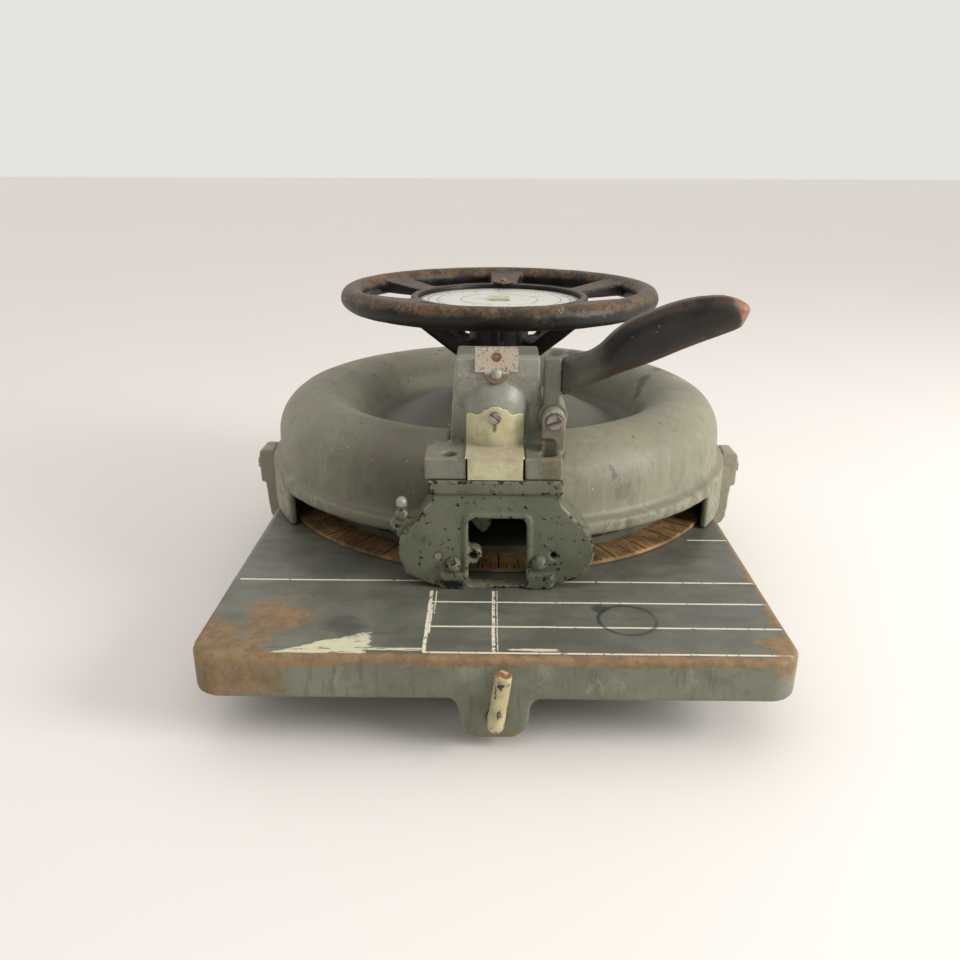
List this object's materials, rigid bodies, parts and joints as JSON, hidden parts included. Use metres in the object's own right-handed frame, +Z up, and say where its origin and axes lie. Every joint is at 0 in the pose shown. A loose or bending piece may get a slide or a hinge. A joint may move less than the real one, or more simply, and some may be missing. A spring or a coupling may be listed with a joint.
{
  "type": "worm gear set",
  "caption": "Handwheel and worm gear set on a cast base plate, with a round housing over a graduated ring, a lever tower with an index plunger, and a shaft output.",
  "frame": {"origin": "on the handwheel axis, in the plane of the flat underside that the unit rests on", "axes": "+Z up along the handwheel axis, -Y towards the lever tower and the front tongue, +X to the right seen from the tower"},
  "size_m": [0.52, 0.6248, 0.3169],
  "materials": {
    "green_paint": "satin grey-green machine enamel, worn",
    "housing_paint": "satin grey-green machine enamel with dark streaks",
    "bracket_paint": "grey-green enamel with small black chips",
    "lug_paint": "grey-green enamel worn to rust at the edges",
    "cream_paint": "cream enamel, chipped at the edges",
    "latch_paint": "cream enamel worn to rust",
    "wheel_paint": "black enamel worn to brown rust",
    "grip_paint": "black enamel with reddish worn edges",
    "ring_steel": "rusty brown steel with black marks",
    "rusty_plate": "bright plate speckled with rust",
    "rusty_steel": "rusty steel",
    "worn_steel": "oiled steel",
    "bare_metal": "bare metal, worn bright",
    "bronze": "oiled bronze",
    "dial_face": "silver-white dial face with dark rings",
    "seal_rubber": "black nitrile rubber"
  },
  "bodies": {
    "base": {"base_plate": "green_paint", "rear_feet_plate": "green_paint", "gear_case": "green_paint", "case_screws": "worn_steel", "dish_housing": "housing_paint", "left_side_lug": "lug_paint", "right_side_lug": "lug_paint", "lug_screws": "worn_steel", "front_bracket": "bracket_paint", "bracket_studs": "bracket_paint", "blanking_plug": "bracket_paint", "lug_pin": "bare_metal", "tower": "bracket_paint", "tower_cover": "cream_paint", "cover_screw": "rusty_steel", "stamp_plate": "rusty_plate", "stamp_plate_screw": "rusty_steel", "spindle_bush": "bronze", "deck_bush": "bronze", "floor_bush": "bronze", "dial_post": "worn_steel", "dial_plate": "dial_face", "dial_cap": "cream_paint", "output_bushes": "bronze", "shaft_seal": "seal_rubber", "barrel_cap": "bracket_paint", "plunger_spring": "worn_steel"},
    "handwheel_spindle": {"handwheel": "wheel_paint", "wheel_pointer": "rusty_steel", "pointer_screw": "worn_steel", "spindle": "worn_steel", "wheel_key": "worn_steel", "wheel_nut": "rusty_steel", "thrust_washer": "bronze", "worm": "worn_steel", "worm_key": "worn_steel", "worm_collar": "worn_steel", "graduated_ring": "ring_steel", "ring_spider": "green_paint", "ring_screws": "worn_steel"},
    "worm_wheel_shaft": {"worm_wheel": "bronze", "output_shaft": "worn_steel", "worm_wheel_key": "worn_steel", "shaft_collars": "worn_steel"},
    "lift_lever": {"lever_arm": "bracket_paint", "lever_grip": "grip_paint", "grip_rivets": "rusty_steel", "pivot_screw": "worn_steel", "inner_crank": "worn_steel"},
    "plunger": {"index_plunger": "worn_steel", "plunger_tooth": "bracket_paint"},
    "latch": {"latch_pin": "latch_paint", "latch_collar": "worn_steel"}
  },
  "joints": [
    {"name": "handwheel_turn", "type": "hinge", "parent": "base", "child": "handwheel_spindle", "pos_m": [0, 0, 0.229], "axis": [0, 0, 1], "continuous": true},
    {"name": "worm_wheel_turn", "type": "hinge", "parent": "base", "child": "worm_wheel_shaft", "pos_m": [0.0405, 0, 0.037], "axis": [0, 1, 0], "continuous": true},
    {"name": "lever_lift", "type": "hinge", "parent": "base", "child": "lift_lever", "pos_m": [0.043, -0.22, 0.2195], "axis": [0, 1, 0], "range_deg": [0, 15], "stiffness_Nm_per_rad": 4, "springref_deg": -17.19},
    {"name": "plunger_slide", "type": "slide", "parent": "base", "child": "plunger", "axis": [0, 0, 1], "range_m": [0, 0.0125], "deforming": ["plunger_spring"]},
    {"name": "latch_turn", "type": "hinge", "parent": "base", "child": "latch", "pos_m": [-0.0025, -0.366, 0.03], "axis": [0, 1, 0], "range_deg": [-97, 83]}
  ],
  "couplings": [
    {"joint": "worm_wheel_turn", "follows": "handwheel_turn", "ratio": -0.05},
    {"joint": "plunger_slide", "follows": "lever_lift", "m_per_rad": 0.047}
  ]
}
